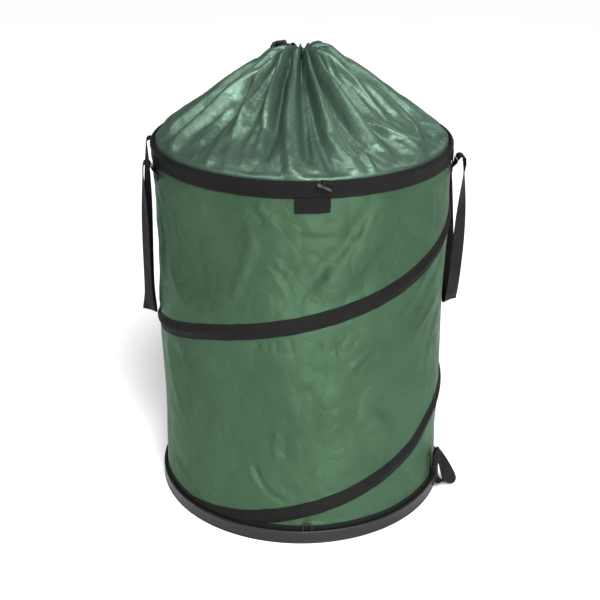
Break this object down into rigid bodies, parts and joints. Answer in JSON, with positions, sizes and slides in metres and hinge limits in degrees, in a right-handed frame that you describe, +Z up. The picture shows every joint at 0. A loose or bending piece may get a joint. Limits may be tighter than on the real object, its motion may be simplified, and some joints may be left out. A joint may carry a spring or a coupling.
{
  "type": "pop-up leaf bag",
  "caption": "Round cloth garden bag held open by a spiral spring, with a moulded base tray, a gathered drawstring collar, carry handles, a tipping loop and toggles.",
  "frame": {"origin": "centre of the base tray's underside, on the bag's axis", "axes": "+Z up along the bag's axis, -Y towards the front with the label, +X towards the right handle"},
  "size_m": [0.6244, 0.5748, 0.8765],
  "materials": {
    "wall_cloth": "matt woven polythene",
    "collar_cloth": "smooth nylon with a soft shine",
    "tape": "woven binding tape",
    "webbing": "woven webbing",
    "cord": "braided cord",
    "label": "smooth woven ribbon",
    "tray": "moulded, lightly textured",
    "lock_plastic": "moulded",
    "toggle_plastic": "moulded, smooth",
    "spring_steel": "drawn wire",
    "rivet": "plain"
  },
  "bodies": {
    "base": {"base_tray": "tray", "bottom_panel": "wall_cloth", "tray_rivet_1": "rivet", "tray_rivet_2": "rivet", "tray_rivet_3": "rivet", "tray_rivet_4": "rivet", "base_hoop": "spring_steel", "base_hem_tape": "tape", "bag_wall": "wall_cloth", "spring_coil": "spring_steel", "spiral_sleeve": "tape", "closure_loop_1": "cord", "closure_loop_2": "cord", "closure_loop_3": "cord", "tipping_loop_tab": "webbing"},
    "rim": {"rim_hoop": "spring_steel", "rim_binding": "tape", "collar": "collar_cloth", "drawstring": "cord", "drawstring_knot": "cord", "label": "label", "toggle_tab_1": "tape", "toggle_tab_2": "tape", "toggle_tab_3": "tape", "right_handle_end_front": "webbing", "right_handle_end_back": "webbing", "left_handle_end_front": "webbing", "left_handle_end_back": "webbing"},
    "right_handle": {"right_handle": "webbing"},
    "left_handle": {"left_handle": "webbing"},
    "tipping_loop": {"tipping_loop": "webbing"},
    "toggle_1": {"toggle_1": "toggle_plastic", "toggle_cord_1": "cord"},
    "toggle_2": {"toggle_2": "toggle_plastic", "toggle_cord_2": "cord"},
    "toggle_3": {"toggle_3": "toggle_plastic", "toggle_cord_3": "cord"},
    "cord_lock": {"cord_lock_body": "lock_plastic", "cord_lock_spring": "spring_steel"},
    "cord_lock_plunger": {"cord_lock_plunger": "lock_plastic"}
  },
  "joints": [
    {"name": "collapse", "type": "slide", "parent": "base", "child": "rim", "axis": [0, 0, 1], "range_m": [-0.632, 0], "stiffness_N_per_m": 60, "springref_m": 0.35, "deforming": ["bag_wall", "spring_coil", "spiral_sleeve"]},
    {"name": "right_handle_swing", "type": "hinge", "parent": "rim", "child": "right_handle", "pos_m": [0.28532, 0, 0.685], "axis": [0, -1, 0], "range_deg": [0, 175]},
    {"name": "left_handle_swing", "type": "hinge", "parent": "rim", "child": "left_handle", "pos_m": [-0.28532, 0, 0.685], "axis": [0, 1, 0], "range_deg": [0, 175]},
    {"name": "tipping_loop_swing", "type": "hinge", "parent": "base", "child": "tipping_loop", "pos_m": [0.26529, -0.10989, 0.08], "axis": [-0.3827, -0.9239, 0], "range_deg": [0, 150]},
    {"name": "toggle_1_swing", "type": "hinge", "parent": "rim", "child": "toggle_1", "pos_m": [0.01179, -0.28137, 0.71454], "axis": [-0.9991, -0.0419, 0], "range_deg": [0, 110]},
    {"name": "toggle_2_swing", "type": "hinge", "parent": "rim", "child": "toggle_2", "pos_m": [0.23778, 0.1509, 0.71454], "axis": [0.5358, -0.8443, 0], "range_deg": [0, 110]},
    {"name": "toggle_3_swing", "type": "hinge", "parent": "rim", "child": "toggle_3", "pos_m": [-0.24957, 0.13047, 0.71454], "axis": [0.4633, 0.8862, 0], "range_deg": [0, 110]},
    {"name": "cord_lock_slide", "type": "slide", "parent": "rim", "child": "cord_lock", "axis": [-0.5, 0.866, 0], "range_m": [0, 0.006]},
    {"name": "plunger_press", "type": "slide", "parent": "cord_lock", "child": "cord_lock_plunger", "axis": [0.866, 0.5, 0], "range_m": [0, 0.003], "stiffness_N_per_m": 300, "springref_m": -0.003, "deforming": ["cord_lock_spring"]}
  ]
}
